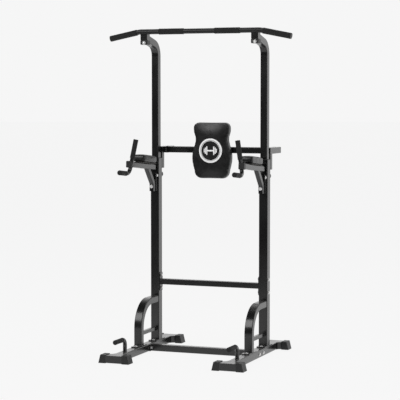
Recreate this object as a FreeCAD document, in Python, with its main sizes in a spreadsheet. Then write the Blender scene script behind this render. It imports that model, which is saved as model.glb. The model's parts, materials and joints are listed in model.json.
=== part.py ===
import FreeCAD, Part
import math
import os
import re

V = FreeCAD.Vector

os.makedirs("parts", exist_ok=True)
doc = FreeCAD.newDocument("PowerTower")
sheet = doc.addObject("Spreadsheet::Sheet", "Dims")

# Driving dimensions in millimetres. Positions along Y are measured from the axis of the posts,
# positive to the rear, and post_y then puts the middle of the whole tower over the origin.
DIMS = {
    "post_x": 323, "post_y": 196,
    "run_gap": 0.05, "wall": 2, "plate": 5,
    # base
    "rail_w": 50, "rail_h": 40, "rail_z": 2,
    "foot_w": 177, "foot_d": 60, "foot_flare": 20,
    "front_foot_y": -570, "rear_foot_y": 192,
    "cap_w": 42, "cap_h": 45, "cap_taper": 11,
    "base_bar": 37, "base_bar_y": -124, "base_bar_z": 0.5,
    "base_flange": 38, "base_flange_y": -119, "base_bolt_gap": 66, "base_flange_len": 96,
    # posts
    "low_w": 50, "low_top": 1075, "up_w": 40, "up_bottom": 480,
    "base_plate_len": 130, "base_bolt_y": 47,
    "bush_len": 50, "bush_lip": 4, "glide_len": 40,
    "mid_z": 377.5, "mid_w": 32, "mid_flange_len": 104, "mid_bolt_gap": 72,
    # rear brackets and back bar
    "stub_d": 35, "bracket_bottom": 1020, "stub_top": 1141, "stub_end": 208,
    "back_bar_y": 94.5, "back_bar": 35, "back_flange_len": 78, "back_bolt_gap": 56,
    # curved side supports
    "side_w": 45, "side_d": 35, "side_y": -254, "side_top": 279.5, "side_bend": 140,
    "strut_w": 20, "strut_z": 110, "side_plate_len": 125, "side_bolt_gap": 85,
    # neck and pull-up bar
    "neck_bend": 70, "neck_z": 1650, "neck_turn": 77, "neck_end": 170,
    "bar_d": 28, "bar_y": -166, "bar_z": 1779, "bar_bend_x": 350, "bar_end_x": 524, "bar_drop": 35,
    "grip_d": 33, "inner_grip_x": 163, "inner_grip_len": 145, "outer_grip_len": 160,
    "saddle_bottom": 1734, "plug_w": 43, "plug_bottom": 1708, "neck_bolt_up": 10, "neck_bolt_len": 12,
    # dip station
    "arm_w": 30, "arm_rear": -42, "arm_front": -363, "arm_z": 1026.4, "arm_tilt": 5,
    "mount_z": 1028, "mount_w": 44, "mount_h": 62, "tongue_rear": -28, "tongue_len": 68,
    "arm_bolt_y": -64,
    "brace_w": 25, "brace_d": 28, "brace_y": -59, "brace_bottom": 893, "brace_bolt_z": 919,
    "brace_turn_z": 938, "brace_bend": 24, "brace_top_y": -150,
    "shoe_w": 33, "shoe_h": 102, "shoe_bolt_y": -35, "shoe_bolt_z": 980,
    "board_t": 4, "pad_len": 178, "pad_w": 70, "pad_t": 39.5, "pad_mid": -192, "pad_in": 10,
    "clamp_w": 32, "clamp_h": 36, "clamp_len": 24,
    "handle_d": 22, "handle_grip_d": 27, "handle_top": 1187, "handle_lean": 10.3,
    "handle_y": -371, "handle_low_z": 1004, "handle_front": -502, "handle_bend": 32,
    "upper_grip_len": 100, "lower_grip_len": 84,
    # backrest
    "cushion_y": 17, "cushion_t": 45, "cushion_bottom": 962, "cushion_top": 1281,
    "cushion_w_top": 219, "cushion_w_waist": 196, "cushion_w_wide": 233, "cushion_w_low": 206,
    "cushion_r_top": 32, "cushion_r_low": 42,
    "soft_gap": 0.3, "back_board_t": 9.7,
    # push-up handles
    "push_y": -447, "push_z": 110, "push_front": -577, "push_d": 22, "push_grip_d": 26,
    "push_bend": 30, "push_grip_len": 98,
    # height lock
    "lock_z": 984, "lock_pitch": 50, "lock_count": 9, "lock_hole": 11,
    "pin_d": 10, "pin_gap": 0.2, "housing_d": 20, "housing_len": 11, "knob_d": 34, "knob_len": 18,
    "knob_y": 45,
    # fasteners
    "bolt_d": 8, "head_d": 16, "head_t": 6, "nut_t": 6.5,
}
for row, (alias, number) in enumerate(DIMS.items(), start=1):
    sheet.set("A%d" % row, alias)
    sheet.set("B%d" % row, str(number))
    sheet.setAlias("B%d" % row, alias)
doc.recompute()


def num(text):
    """The value of an expression written with sheet aliases."""
    names = {alias: float(sheet.get(alias)) for alias in DIMS}
    words = re.sub(r"[a-z_]+", lambda m: repr(names[m.group(0)]), str(text))
    total = FreeCAD.Units.Quantity(words)
    return float(total.Value)


def expr(text):
    """The same expression with its aliases pointing at the sheet."""
    return re.sub(r"[a-z_]+", lambda m: "Dims." + m.group(0), str(text))


def bind(obj, prop, text):
    obj.setExpression(prop, expr(text))


def place(obj, x, y, z):
    """Bind the base of obj's placement; y is measured from the post axis."""
    bind(obj, "Placement.Base.x", x)
    bind(obj, "Placement.Base.y", "post_y + (%s)" % y)
    bind(obj, "Placement.Base.z", z)


def box(x, y, z, lx, ly, lz):
    """A box centred on x and y that starts at height z."""
    obj = doc.addObject("Part::Box", "box")
    bind(obj, "Length", lx)
    bind(obj, "Width", ly)
    bind(obj, "Height", lz)
    place(obj, "(%s) - (%s) / 2" % (x, lx), "(%s) - (%s) / 2" % (y, ly), z)
    return obj


TURN = {
    "x": FreeCAD.Rotation(V(0, 1, 0), 90),
    "y": FreeCAD.Rotation(V(1, 0, 0), -90),
    "z": FreeCAD.Rotation(),
}


def rod(axis, x, y, z, d, length):
    """A cylinder that starts at a point and runs along +axis."""
    obj = doc.addObject("Part::Cylinder", "rod")
    bind(obj, "Radius", "(%s) / 2" % d)
    bind(obj, "Height", length)
    obj.Placement = FreeCAD.Placement(V(), TURN[axis])
    place(obj, x, y, z)
    return obj


def fuse(*objs):
    obj = doc.addObject("Part::MultiFuse", "fuse")
    obj.Shapes = list(objs)
    return obj


def cut(base, *tools):
    obj = doc.addObject("Part::Cut", "cut")
    obj.Base = base
    obj.Tool = tools[0] if len(tools) == 1 else fuse(*tools)
    return obj


def mirror(base):
    obj = doc.addObject("Part::Mirroring", "mirror")
    obj.Source = base
    obj.Normal = V(1, 0, 0)
    return obj


def group(*objs):
    obj = doc.addObject("Part::Compound", "group")
    obj.Links = list(objs)
    return obj


def feature(shape):
    obj = doc.addObject("Part::Feature", "shape")
    obj.Shape = shape
    obj.Placement = FreeCAD.Placement()
    return obj


def rounded(base, axis, radius, straight=0.999):
    """Fillet the edges of a box that run along one axis, or nearly so if straight is lower."""
    doc.recompute()
    obj = doc.addObject("Part::Fillet", "fillet")
    obj.Base = base
    picked = []
    for i, edge in enumerate(base.Shape.Edges, start=1):
        step = edge.Vertexes[1].Point - edge.Vertexes[0].Point
        if abs(getattr(step, axis)) > straight * step.Length:
            picked.append((i, radius, radius))
    obj.Edges = picked
    return obj


PARTS = {}


def part(name, obj):
    obj.Label = name
    PARTS[name] = obj
    return obj


def pair(name, right):
    """A right-hand piece and its mirror image, as two parts."""
    part(name + "_right", right)
    part(name + "_left", mirror(right))


def both(name, right):
    """Two or more equal pieces in one part: the right-hand ones and their mirror images."""
    part(name, group(right, mirror(right)))


def tube(axis, x, y, z, lx, ly, lz, radius=4, wall="wall"):
    """A square tube along axis with rounded corners, open at both ends."""
    outer = rounded(box(x, y, z, lx, ly, lz), axis, radius)
    size = {"x": lx, "y": ly, "z": lz}
    size = {a: "(%s) - 2 * %s" % (s, wall) if a != axis else "(%s) + 2" % s for a, s in size.items()}
    floor = "(%s) - 1" % z if axis == "z" else "(%s) + %s" % (z, wall)
    inner = rounded(box(x, y, floor, size["x"], size["y"], size["z"]), axis, max(radius - 2, 0.5))
    return cut(outer, inner)


def wire(points, bends):
    """A path of straight runs with an arc of radius bends[i] at each inner point."""
    edges = []
    start = points[0]
    for i in range(1, len(points) - 1):
        back = (points[i - 1] - points[i]).normalize()
        ahead = (points[i + 1] - points[i]).normalize()
        half = back.getAngle(ahead) / 2
        reach = bends[i - 1] / math.tan(half)
        first = points[i] + back * reach
        last = points[i] + ahead * reach
        bisector = (back + ahead).normalize()
        centre = points[i] + bisector * (bends[i - 1] / math.sin(half))
        middle = centre - bisector * bends[i - 1]
        edges.append(Part.makeLine(start, first))
        edges.append(Part.Arc(first, middle, last).toShape())
        start = last
    edges.append(Part.makeLine(start, points[-1]))
    return Part.Wire(edges)


def sweep(path, section):
    shell = Part.BRepOffsetAPI.MakePipeShell(path)
    shell.setTransitionMode(1)
    shell.add(section)
    shell.build()
    shell.makeSolid()
    return shell.shape()


def round_section(start, ahead, radius):
    return Part.Wire([Part.makeCircle(radius, start, ahead)])


def square_section(start, ahead, width, depth, radius):
    """A rounded rectangle across a path in a plane of constant X; width runs along X."""
    flat = Part.makePlane(width, depth, V(-width / 2, -depth / 2, 0))
    solid = flat.extrude(V(0, 0, 1))
    upright = [e for e in solid.Edges if abs(e.Vertexes[0].Z - e.Vertexes[1].Z) > 0.5]
    solid = solid.makeFillet(radius, upright)
    face = [f for f in solid.Faces if abs(f.CenterOfMass.z) < 1e-6][0]
    outline = face.OuterWire
    tilt = math.degrees(math.atan2(-ahead.y, ahead.z))
    outline.Placement = FreeCAD.Placement(start, FreeCAD.Rotation(V(1, 0, 0), tilt))
    return outline


def bent_tube(points, bends, d, thick):
    """A round tube bent along a path."""
    path = wire(points, bends)
    ahead = points[1] - points[0]
    outer = sweep(path, round_section(points[0], ahead, d / 2))
    inner = sweep(path, round_section(points[0], ahead, d / 2 - thick))
    return outer.cut(inner)


def bent_box(points, bends, width, depth, thick):
    """A rectangular tube bent along a path in a plane of constant X; returns tube and core."""
    path = wire(points, bends)
    ahead = (points[1] - points[0]).normalize()
    outer = sweep(path, square_section(points[0], ahead, width, depth, 4))
    inner = sweep(path, square_section(points[0], ahead, width - 2 * thick, depth - 2 * thick, 2))
    return outer.cut(inner), outer


def at(x, y, z):
    """A point from three expressions, y measured from the post axis."""
    return V(num(x), num(y) + num("post_y"), num(z))


def bolt_profile(grip, nut):
    """Half outline of a domed bolt whose head sits at height 0 with its shank going down."""
    head = num("head_d") / 2
    tall = num("head_t")
    shank = num("bolt_d") / 2
    washer = 1.2
    rim = V(head, 0, 1.4 + washer)
    crown = V(0, 0, tall)
    rise = crown.z - rim.z
    ball = (head ** 2 + rise ** 2) / (2 * rise)
    half = math.asin(head / ball) / 2
    arc = Part.Arc(rim, V(ball * math.sin(half), 0, tall - ball * (1 - math.cos(half))), crown)
    points = [V(0, 0, -grip), V(shank, 0, -grip), V(shank, 0, 0), V(head + 2, 0, 0)]
    points += [V(head + 2, 0, washer), V(head, 0, washer), rim]
    edges = [Part.makeLine(a, b) for a, b in zip(points, points[1:])]
    edges += [arc.toShape(), Part.makeLine(crown, points[0])]
    solid = Part.Face(Part.Wire(edges)).revolve(V(), V(0, 0, 1), 360)
    if nut:
        six = [V(7.5 * math.cos(a), 7.5 * math.sin(a), 0) for a in [math.radians(60 * i) for i in range(7)]]
        nut_solid = Part.Face(Part.makePolygon(six)).extrude(V(0, 0, num("nut_t")))
        nut_solid.translate(V(0, 0, -grip))
        solid = solid.fuse(nut_solid).removeSplitter()
    return solid


def bolts(name, places, grip, nut=False):
    """Equal bolts in one part. Each place is a point and the direction its head faces."""
    solids = []
    for point, facing in places:
        solid = bolt_profile(num(grip), nut)
        turn = FreeCAD.Rotation(V(0, 0, 1), facing)
        solid.Placement = FreeCAD.Placement(point, turn)
        solids.append(solid)
    part(name, feature(Part.makeCompound(solids)))


def sides(points):
    """The same places on the right and mirrored on the left."""
    found = []
    for point, facing in points:
        found.append((point, facing))
        found.append((V(-point.x, point.y, point.z), V(-facing.x, facing.y, facing.z)))
    return found


def hole(axis, x, y, z, length):
    """A bolt hole, 0.1 mm wider all round than the shank."""
    return rod(axis, x, y, z, "bolt_d + 0.2", length)


def foot(y_mid, toward):
    """The outline of a T-shaped foot flared into its rail, extruded and hollowed."""
    body = doc.addObject("PartDesign::Body", "foot_body")
    plane = [f for f in body.Origin.OriginFeatures if f.Role == "XY_Plane"][0]
    sk = body.newObject("Sketcher::SketchObject", "foot_outline")
    sk.AttachmentSupport = [(plane, "")]
    sk.MapMode = "FlatFace"
    half = num("foot_w / 2 - cap_taper - 2")
    deep = num("foot_d") / 2
    neck = num("rail_w") / 2
    flare = num("foot_flare")
    s = toward
    a = [V(half, -s * deep, 0), V(half, s * deep, 0), V(neck + flare, s * deep, 0)]
    b = [V(-v.x, v.y, 0) for v in reversed(a)]
    end_r = V(neck, s * (deep + flare), 0)
    end_l = V(-neck, s * (deep + flare), 0)
    corner = flare * (1 - math.sqrt(0.5))
    mid_r = V(neck + corner, s * (deep + corner), 0)
    mid_l = V(-neck - corner, s * (deep + corner), 0)
    sk.addGeometry(Part.LineSegment(a[0], a[1]))
    sk.addGeometry(Part.LineSegment(a[1], a[2]))
    sk.addGeometry(Part.Arc(a[2], mid_r, end_r))
    sk.addGeometry(Part.LineSegment(end_r, end_l))
    sk.addGeometry(Part.Arc(end_l, mid_l, b[0]))
    sk.addGeometry(Part.LineSegment(b[0], b[1]))
    sk.addGeometry(Part.LineSegment(b[1], b[2]))
    sk.addGeometry(Part.LineSegment(b[2], a[0]))
    pad = body.newObject("PartDesign::Pad", "foot_pad")
    pad.Profile = sk
    bind(pad, "Length", "rail_h")
    place(body, "post_x", y_mid, "rail_z")
    tunnel = box("post_x", y_mid, "rail_z + wall", "foot_w", "foot_d - 2 * wall", "rail_h - 2 * wall")
    return cut(body, tunnel)


def foot_cap(side, y_mid):
    """A plastic cup over one end of a foot. Its end face leans in towards the top."""
    shape = doc.addObject("Part::Wedge", "cap_shell")
    sizes = {"Xmin": "-cap_w / 2", "Xmax": "cap_w / 2", "Ymin": "0", "Ymax": "cap_h",
             "X2min": "-cap_w / 2", "X2max": "cap_w / 2 - cap_taper"}
    for low, high in (("Zmin", "Zmax"), ("Z2min", "Z2max")):
        sizes[low] = "-foot_d / 2 - 2"
        sizes[high] = "foot_d / 2 + 2"
    for prop, text in sizes.items():
        bind(shape, prop, text)
    turn = FreeCAD.Rotation(V(1, 0, 0), 90)
    if side < 0:
        turn = FreeCAD.Rotation(V(0, 0, 1), 180).multiply(turn)
    shape.Placement = FreeCAD.Placement(V(), turn)
    place(shape, "post_x %s (foot_w / 2 - cap_w / 2)" % ("+" if side > 0 else "-"), y_mid, 0)
    shell = rounded(shape, "z", 4, 0.9)
    block = box("post_x", y_mid, "rail_z", "foot_w - 2 * cap_taper - 4", "foot_d", "rail_h")
    return cut(shell, block)


def base():
    rail_len = "rear_foot_y - front_foot_y - foot_d - 2 * foot_flare"
    rail_mid = "(rear_foot_y + front_foot_y) / 2"
    rail = tube("y", "post_x", rail_mid, "rail_z", "rail_w", rail_len, "rail_h")
    drills = []
    for s in ("-", "+"):
        y = "base_flange_y %s base_bolt_gap / 2" % s
        drills.append(hole("x", "post_x - rail_w / 2 - 1", y, "rail_z + base_flange / 2", "rail_w + 2"))
        top = "rail_z + rail_h - wall - 1"
        drills.append(hole("z", "post_x", "%sbase_bolt_y" % s.replace("+", ""), top, 5))
        drills.append(hole("z", "post_x", "side_y %s side_bolt_gap / 2" % s, top, 5))
    pair("base_rail", cut(rail, *drills))
    pair("front_foot", foot("front_foot_y", 1))
    pair("rear_foot", foot("rear_foot_y", -1))
    caps = [foot_cap(side, y) for side in (1, -1) for y in ("front_foot_y", "rear_foot_y")]
    both("foot_caps", group(*caps))

    reach = "post_x - rail_w / 2 - plate"
    bar = tube("x", 0, "base_bar_y", "base_bar_z", "2 * (%s)" % reach, "base_bar", "base_bar")
    plates = []
    for s in ("", "-"):
        x = "%s(%s + plate / 2)" % (s, reach)
        plate = box(x, "base_flange_y", "rail_z", "plate", "base_flange_len", "base_flange")
        holes = [hole("x", "%s - plate" % x, "base_flange_y %s base_bolt_gap / 2" % t,
                      "rail_z + base_flange / 2", "3 * plate") for t in "+-"]
        plates.append(cut(plate, *holes))
    part("base_crossbar", fuse(bar, *plates))


def posts():
    floor = "rail_z + rail_h"
    plate = rounded(box("post_x", 0, floor, "low_w", "base_plate_len", "plate"), "z", 6)
    holes = [hole("z", "post_x", y, "%s - 1" % floor, "plate + 2") for y in ("base_bolt_y", "-base_bolt_y")]
    both("post_base_plates", cut(plate, *holes))

    low = tube("z", "post_x", 0, floor + " + plate", "low_w", "low_w", "low_top - (%s) - plate" % floor)
    drills = [rod("y", "post_x", "low_w / 2 - wall - 1", "lock_z", "pin_d + 2 * run_gap", "wall + 2")]
    for s in "+-":
        z = "mid_z %s mid_bolt_gap / 2" % s
        drills.append(hole("x", "post_x - low_w / 2 - 1", 0, z, "low_w + 2"))
    drills.append(hole("y", "post_x", "-low_w / 2 - 1", "brace_bolt_z", "wall + 2"))
    pair("lower_post", cut(low, *drills))

    inner = "low_w - 2 * wall"
    hole_w = "up_w + 2 * run_gap"
    sleeve = box("post_x", 0, "low_top - bush_len", inner, inner, "bush_len")
    lip = rounded(box("post_x", 0, "low_top", "low_w", "low_w", "bush_lip"), "z", 4)
    opening = box("post_x", 0, "low_top - bush_len - 1", hole_w, hole_w, "bush_len + bush_lip + 2")
    opening = rounded(opening, "z", 3.9)
    both("post_bushings", cut(fuse(rounded(sleeve, "z", 2), lip), opening))

    reach = "post_x - low_w / 2 - plate"
    bar = tube("x", 0, 0, "mid_z - mid_w / 2", "2 * (%s)" % reach, "mid_w", "mid_w", 3)
    plates = []
    for s in ("", "-"):
        x = "%s(%s + plate / 2)" % (s, reach)
        plate = box(x, 0, "mid_z - mid_flange_len / 2", "plate", "mid_w + 6", "mid_flange_len")
        plate = rounded(plate, "x", 9)
        holes = [hole("x", "%s - plate" % x, 0, "mid_z %s mid_bolt_gap / 2" % t, "3 * plate") for t in "+-"]
        plates.append(cut(plate, *holes))
    part("mid_crossbar", fuse(bar, *plates))


def rear_brackets():
    deep = "stub_d"
    front = "low_w / 2"
    tall = "stub_top - bracket_bottom"
    long = "stub_end - low_w / 2"
    upright = box("post_x", "%s + stub_d / 2" % front, "bracket_bottom", "low_w", deep, tall)
    upright = rounded(upright, "z", 4)
    stub = box("post_x", "%s + (%s) / 2" % (front, long), "stub_top - stub_d", "low_w", long, deep)
    stub = rounded(stub, "y", 4)
    inner_w = "low_w - 2 * wall"
    inner_d = "stub_d - 2 * wall"
    rise = "%s - wall" % tall
    void_up = box("post_x", "%s + stub_d / 2" % front, "bracket_bottom - 1", inner_w, inner_d, rise)
    void_back = box("post_x", "%s + (%s) / 2 + wall" % (front, long), "stub_top - stub_d + wall",
                    inner_w, long, inner_d)
    holes = [hole("x", "post_x - low_w / 2 - 1", "back_bar_y %s back_bolt_gap / 2" % t,
                  "stub_top - stub_d / 2", "wall + 2") for t in "+-"]
    pair("rear_bracket", cut(fuse(upright, stub), void_up, void_back, *holes))

    lid = rounded(box("post_x", "stub_end + 1.5", "stub_top - stub_d", "low_w", 3, "stub_d"), "y", 4)
    plug = box("post_x", "stub_end - 6", "stub_top - stub_d + wall", inner_w, 12, inner_d)
    both("stub_caps", fuse(lid, plug))

    reach = "post_x - low_w / 2 - plate"
    z = "stub_top - stub_d"
    bar = tube("x", 0, "back_bar_y", z, "2 * (%s)" % reach, "back_bar", "back_bar")
    plates = []
    for s in ("", "-"):
        x = "%s(%s + plate / 2)" % (s, reach)
        plate = rounded(box(x, "back_bar_y", z, "plate", "back_flange_len", "back_bar"), "x", 5)
        holes = [hole("x", "%s - plate" % x, "back_bar_y %s back_bolt_gap / 2" % t,
                      "stub_top - stub_d / 2", "3 * plate") for t in "+-"]
        plates.append(cut(plate, *holes))
    part("back_crossbar", fuse(bar, *plates))


def side_supports():
    floor = "rail_z + rail_h + plate"
    path = [at("post_x", "side_y", floor), at("post_x", "side_y", "side_top"),
            at("post_x", "-low_w / 2", "side_top")]
    tube_shape, _ = bent_box(path, [num("side_bend")], num("side_w"), num("side_d"), num("wall"))
    pair("side_support", feature(tube_shape))
    run = "-low_w / 2 - side_y - side_d / 2"
    strut = tube("y", "post_x", "side_y + side_d / 2 + (%s) / 2" % run, "strut_z - strut_w / 2",
                 "strut_w", run, "strut_w", 2, "1.5")
    both("support_struts", strut)
    plate = rounded(box("post_x", "side_y", "rail_z + rail_h", "side_w", "side_plate_len", "plate"), "z", 6)
    holes = [hole("z", "post_x", "side_y %s side_bolt_gap / 2" % t, "rail_z + rail_h - 1", "plate + 2")
             for t in "+-"]
    both("support_plates", cut(plate, *holes))


def neck_points():
    """The centreline of an upper post: upright, then leaning forward over the user's side."""
    turn = math.radians(num("neck_turn"))
    reach = num("neck_bend") * math.tan(turn / 2)
    corner = at("post_x", 0, "neck_z") + V(0, 0, reach)
    ahead = V(0, -math.sin(turn), math.cos(turn))
    extra = (num("neck_end") / math.sin(turn)) + 12
    return [at("post_x", 0, "up_bottom"), corner, corner + ahead * extra]


def upper_frame():
    shape, core = bent_box(neck_points(), [num("neck_bend")], num("up_w"), num("up_w"), num("wall"))
    trim = Part.makeBox(100, 100, 200, at("post_x - 50", "-neck_end - 100", "saddle_bottom - 80"))
    shape = shape.cut(trim)
    for i in range(int(num("lock_count"))):
        z = num("lock_z") - i * num("lock_pitch")
        start = at("post_x", "up_w / 2 - wall - 1", 0)
        shape = shape.cut(Part.makeCylinder(num("lock_hole") / 2, 6, V(start.x, start.y, z), V(0, 1, 0)))
    pair("upper_post", feature(shape))

    outer = "low_w - 2 * wall - 2 * run_gap"
    sleeve = rounded(box("post_x", 0, "up_bottom", outer, outer, "glide_len"), "z", 2)
    opening = rounded(box("post_x", 0, "up_bottom - 1", "up_w", "up_w", "glide_len + 2"), "z", 4)
    both("post_glides", cut(sleeve, opening))

    solid_neck = feature(core.cut(trim))
    bar_space = rod("x", "post_x - 40", "bar_y", "bar_z", "bar_d", 80)
    saddle = box("post_x", "-neck_end + 13", "saddle_bottom", "up_w", 38, "bar_z - saddle_bottom")
    both("bar_saddles", cut(saddle, solid_neck, bar_space))
    plug = box("post_x", "-neck_end + 14", "plug_bottom", "plug_w", 36, "saddle_bottom - plug_bottom")
    plug = rounded(plug, "y", 6)
    screw = rod("y", "post_x", "-neck_end - 5", "plug_bottom + neck_bolt_up", "bolt_d + 0.2", 15)
    both("neck_plugs", cut(plug, solid_neck, screw))

    drop = num("bar_drop")
    side = [at("bar_bend_x", "bar_y", "bar_z"), at("bar_end_x", "bar_y", "bar_z") - V(0, 0, drop)]
    other = [V(-p.x, p.y, p.z) for p in side]
    path = [other[1], other[0], side[0], side[1]]
    part("pull_up_bar", feature(bent_tube(path, [60, 60], num("bar_d"), num("wall"))))

    start = at("inner_grip_x - inner_grip_len / 2", "bar_y", "bar_z")
    inner = ring(start, V(1, 0, 0), num("inner_grip_len"), num("grip_d") / 2, num("bar_d") / 2)
    both("inner_bar_grips", feature(inner))
    slope = (side[0] - side[1]).normalize()
    outer_grip = ring(side[1], slope, num("outer_grip_len"), num("grip_d") / 2, num("bar_d") / 2)
    both("outer_bar_grips", feature(outer_grip))
    lid = Part.makeCylinder(num("grip_d") / 2 - 0.5, 3, side[1], slope * -1)
    plug_in = Part.makeCylinder(num("bar_d") / 2 - num("wall"), 12, side[1], slope)
    both("bar_end_caps", feature(lid.fuse(plug_in)))


def ring(start, ahead, length, outer, inner):
    sleeve = Part.makeCylinder(outer, length, start, ahead)
    rim = [e for e in sleeve.Edges if e.Curve.TypeId == "Part::GeomCircle"]
    sleeve = sleeve.makeFillet(1.2, rim)
    return sleeve.cut(Part.makeCylinder(inner, length, start, ahead))


def end_lid(start, ahead, radius, thick):
    """A disc that closes a grip, with its outer rim rounded."""
    lid = Part.makeCylinder(radius, thick, start, ahead)
    rims = [e for e in lid.Edges if e.Curve.TypeId == "Part::GeomCircle"]
    outer = max(rims, key=lambda e: (e.Curve.Center - start).dot(ahead))
    return lid.makeFillet(thick / 2, [outer])


def tilted(obj, x, y, z):
    """Tip a piece made level at the origin to the slope of the arms, at a point on their axis."""
    obj.Placement = FreeCAD.Placement(V(), FreeCAD.Rotation(V(1, 0, 0), -num("arm_tilt")))
    place(obj, x, y, z)
    return obj


def arm_height(y):
    """Height of the arm's axis where it crosses y."""
    return "arm_z + (arm_rear - (%s)) * 0.0875" % y


def level(lx, ly, lz, x=0, y=0, z=0):
    """A box centred on x and y, starting at z, before it is tilted."""
    obj = doc.addObject("Part::Box", "box")
    bind(obj, "Length", lx)
    bind(obj, "Width", ly)
    bind(obj, "Height", lz)
    bind(obj, "Placement.Base.x", "(%s) - (%s) / 2" % (x, lx))
    bind(obj, "Placement.Base.y", "(%s) - (%s) / 2" % (y, ly))
    bind(obj, "Placement.Base.z", z)
    return obj


def handle_line():
    """Top, corner and front end of a dip handle's centreline."""
    lean = math.tan(math.radians(num("handle_lean")))
    tilt = math.tan(math.radians(num("arm_tilt")))
    low = at("post_x + 3", "handle_y - 4", "handle_low_z")
    rise = num("handle_top - handle_low_z")
    reach = num("handle_front + post_y") - low.y
    return [low + V(-rise * lean, rise * tilt, rise), low, low + V(0, reach, -reach * tilt)]


def dip_station():
    mid = "(arm_front + arm_rear) / 2"
    long = "arm_rear - arm_front"
    inner = "arm_w - 2 * wall"
    points = handle_line()
    section = round_section(points[0], points[1] - points[0], num("handle_d / 2 + run_gap"))
    handle_core = feature(sweep(wire(points, [num("handle_bend")]), section))
    outer = rounded(level("arm_w", long, "arm_w", 0, 0, "-arm_w / 2"), "y", 4)
    core = rounded(level(inner, long + " + 2", inner, 0, 0, "-arm_w / 2 + wall"), "y", 2)
    bolt_at = "(arm_bolt_y - (%s)) * 1.00382" % mid
    drill = level("bolt_d + 0.2", "bolt_d + 0.2", "arm_w + 4", 0, bolt_at, "-arm_w / 2 - 2")
    arm = tilted(cut(outer, core, rounded(drill, "z", 4)), "post_x", mid, arm_height(mid))
    pair("dip_arm", cut(arm, handle_core))

    back = box("post_x", "-low_w / 2 - plate / 2", "mount_z - mount_h / 2", "mount_w", "plate", "mount_h")
    back = rounded(back, "y", 6)
    slim = inner + " - 2 * run_gap"
    tongue_at = "tongue_rear - tongue_len / 2 - (%s)" % mid
    tongue = level(slim, "tongue_len", slim, 0, tongue_at, "-arm_w / 2 + wall + run_gap")
    tongue = tilted(cut(rounded(tongue, "y", 2), drill), "post_x", mid, arm_height(mid))
    both("arm_mounts", fuse(back, tongue))

    path = [at("post_x", "brace_top_y", "brace_turn_z + (brace_y - brace_top_y) * 1.14"),
            at("post_x", "brace_y", "brace_turn_z"), at("post_x", "brace_y", "brace_bottom")]
    brace, _ = bent_box(path, [num("brace_bend")], num("brace_w"), num("brace_d"), 1.5)
    above = tilted(group(level(60, 400, 100, 0, 0, "-arm_w / 2")), "post_x", mid, arm_height(mid))
    bolt_hole = hole("y", "post_x", "brace_y - brace_d / 2 - 1", "brace_bolt_z", "brace_d + 2")
    pair("arm_brace", cut(feature(brace), above, bolt_hole))

    deep = "-low_w / 2 - brace_y - brace_d / 2"
    shoe_at = "-low_w / 2 - (%s) / 2" % deep
    shoe = tube("z", "post_x", shoe_at, "brace_bottom", "shoe_w", deep, "shoe_h", 2, "3")
    screw = hole("y", "post_x", "-low_w / 2 - (%s) - 1" % deep, "brace_bolt_z", "5")
    cross = hole("x", "post_x - shoe_w", "shoe_bolt_y", "shoe_bolt_z", "2 * shoe_w")
    both("brace_shoes", cut(shoe, screw, cross))

    pad_z = arm_height("pad_mid")
    board = rounded(level("pad_w - 2", "pad_len - 2", "board_t", 0, 0, "arm_w / 2"), "z", 6)
    both("pad_boards", tilted(board, "post_x - pad_in", "pad_mid", pad_z))
    soft = rounded(level("pad_w", "pad_len", "pad_t", 0, 0, "arm_w / 2 + board_t + soft_gap"), "x", 12)
    pair("arm_pad", tilted(soft, "post_x - pad_in", "pad_mid", pad_z))

    handle()


def handle():
    top, low, front = handle_line()
    bent = bent_tube([top, low, front], [num("handle_bend")], num("handle_d"), num("wall"))
    pair("dip_handle", feature(bent))

    down = (low - top).normalize()
    ahead = (front - low).normalize()
    grip_r = num("handle_grip_d") / 2
    tube_r = num("handle_d") / 2
    upper = ring(top, down, num("upper_grip_len"), grip_r, tube_r)
    both("upper_handle_grips", feature(upper.fuse(end_lid(top, down * -1, grip_r, 3))))
    lower = ring(front, ahead * -1, num("lower_grip_len"), grip_r, tube_r)
    both("lower_handle_grips", feature(lower.fuse(end_lid(front, ahead, grip_r, 3))))

    y = "arm_front - clamp_len / 2"
    block = rounded(level("clamp_w", "clamp_len", "clamp_h", 0, 0, "-clamp_h / 2"), "y", 5)
    body = tilted(block, "post_x", y, arm_height(y))
    section = round_section(top, down, tube_r + num("run_gap"))
    bore = sweep(wire([top, low, front], [num("handle_bend")]), section)
    both("handle_clamps", cut(body, feature(bore)))


def cushion_outline(tall):
    """Flat top and bottom, rounded corners, and sides that swell below a waist."""
    top = num("cushion_w_top / 2")
    low = num("cushion_w_low / 2")
    found = []
    for s in (1, -1):
        path = [V(s * low, num("cushion_r_low"), 0), V(s * num("cushion_w_wide / 2"), 0.46 * tall, 0),
                V(s * num("cushion_w_waist / 2"), 0.72 * tall, 0), V(s * top, tall - num("cushion_r_top"), 0)]
        curve = Part.BSplineCurve()
        curve.interpolate(path, InitialTangent=V(s * 0.28, 1, 0), FinalTangent=V(0, 1, 0))
        found.append(curve)
        corners = ((top, num("cushion_r_top"), tall, -1), (low, num("cushion_r_low"), 0, 1))
        for half, radius, end, way in corners:
            centre = V(s * (half - radius), end + way * radius, 0)
            start = centre + V(s * radius, 0, 0)
            middle = centre + V(s * radius, -way * radius, 0) * math.sqrt(0.5)
            stop = centre + V(0, -way * radius, 0)
            found.append(Part.Arc(start, middle, stop))
    for half, radius, end in ((top, num("cushion_r_top"), tall), (low, num("cushion_r_low"), 0)):
        found.append(Part.LineSegment(V(radius - half, end, 0), V(half - radius, end, 0)))
    return found


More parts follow.
